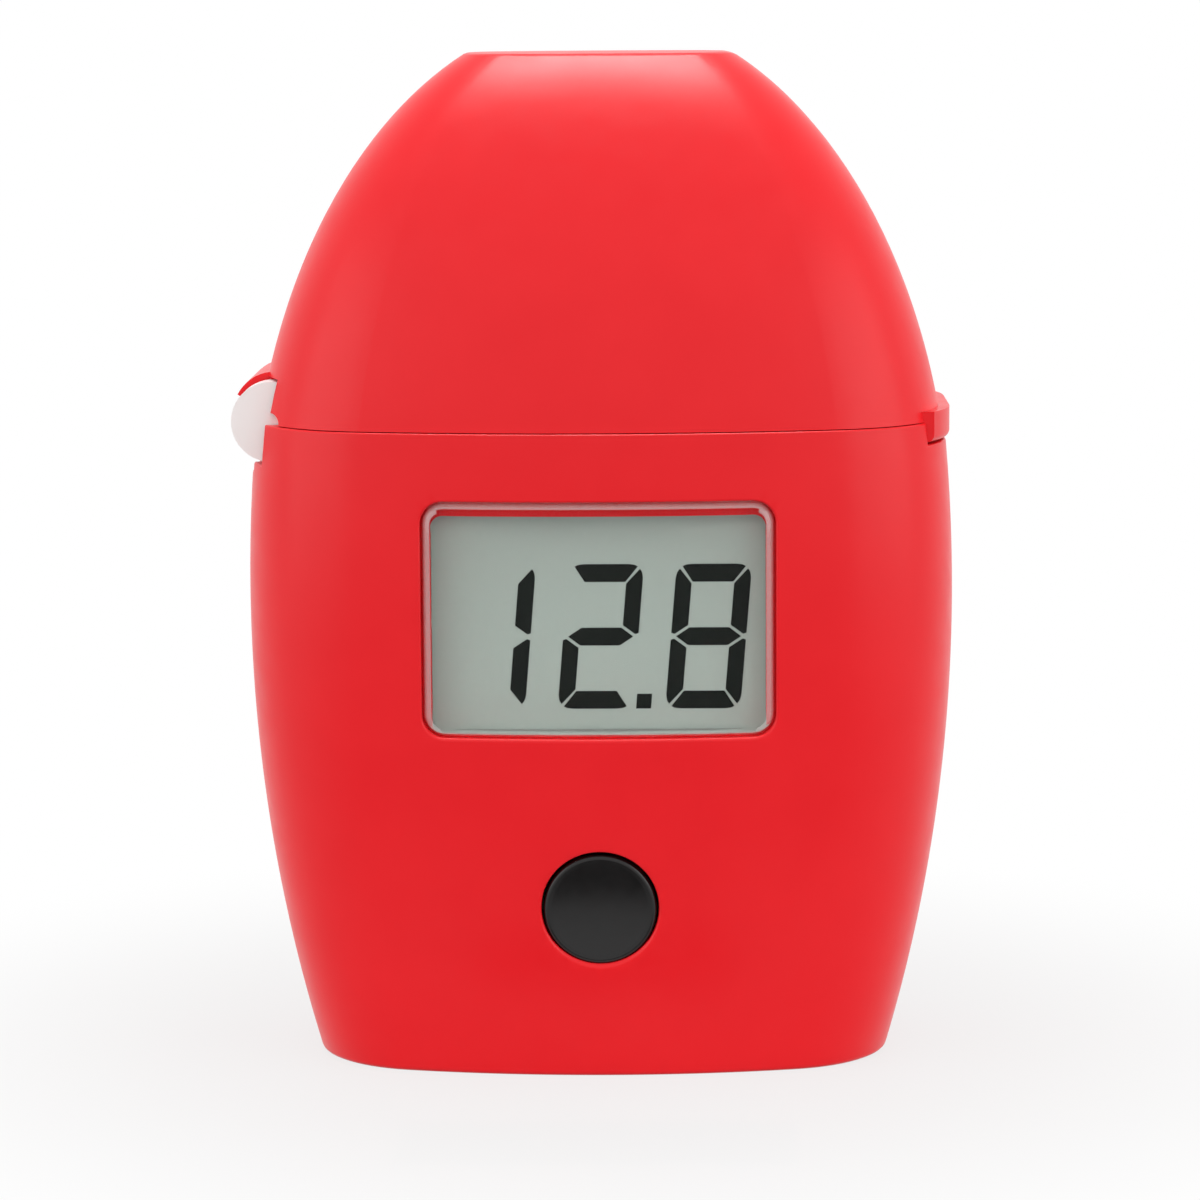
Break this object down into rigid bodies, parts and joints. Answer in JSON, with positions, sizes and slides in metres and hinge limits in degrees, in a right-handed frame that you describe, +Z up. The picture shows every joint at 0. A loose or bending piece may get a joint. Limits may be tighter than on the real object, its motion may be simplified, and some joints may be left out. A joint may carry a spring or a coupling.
{
  "type": "portable colorimeter",
  "caption": "Pocket colorimeter with a crowned moulded body, side-hinged lid over a cuvette well, curved display window and a dished push button.",
  "frame": {"origin": "middle of the flat base, on the seam between the two casing halves", "axes": "+Z up, the display faces -Y, +X to the right seen from the front, lid hinge on -X"},
  "size_m": [0.0612, 0.0374, 0.086],
  "materials": {
    "red_housing": "satin red moulded plastic with a fine texture",
    "white_deck": "off-white moulded plastic",
    "black_holder": "dull black",
    "black_button": "semi-gloss black",
    "clear_lens": "clear polished plastic lens",
    "display_glass": "grey-green reflective display",
    "grey_frame": "light grey moulded plastic",
    "contact_rubber": "dull black",
    "circuit_board": "green solder resist",
    "chip_black": "moulded black",
    "switch_plastic": "natural",
    "led_epoxy": "clear epoxy",
    "filter_glass": "coated glass",
    "plated_metal": "nickel plated",
    "battery_wrap": "plain dark sleeve",
    "screw_steel": "zinc plated"
  },
  "bodies": {
    "body": {"front_shell": "red_housing", "rear_shell": "red_housing", "deck_frame": "white_deck", "cuvette_holder": "black_holder", "well_gasket": "contact_rubber", "hinge_pin": "screw_steel", "lcd_window": "clear_lens", "lcd_panel": "display_glass", "lcd_frame": "grey_frame", "zebra_strips": "contact_rubber", "main_board": "circuit_board", "board_components": "chip_black", "switch_body": "chip_black", "led_emitter": "led_epoxy", "optical_filter": "filter_glass", "photodetector": "plated_metal", "battery": "battery_wrap", "battery_contact_positive": "plated_metal", "battery_contact_negative": "plated_metal", "case_screws": "screw_steel"},
    "lid": {"lid_shell": "red_housing", "lid_liner": "black_holder"},
    "button": {"power_button": "black_button", "switch_plunger": "switch_plastic"},
    "door": {"battery_door": "red_housing", "door_screw": "screw_steel"}
  },
  "joints": [
    {"name": "lid_hinge", "type": "hinge", "parent": "body", "child": "lid", "pos_m": [-0.02775, 0, 0.05525], "axis": [0, -1, 0], "range_deg": [0, 100]},
    {"name": "button_press", "type": "slide", "parent": "body", "child": "button", "axis": [0, 1, 0], "range_m": [0, 0.0005], "stiffness_N_per_m": 3000, "springref_m": -0.0003},
    {"name": "door_hinge", "type": "hinge", "parent": "body", "child": "door", "pos_m": [-0.0228, 0.0149, 0.0143], "axis": [0, 0, 1], "range_deg": [0, 60]}
  ]
}
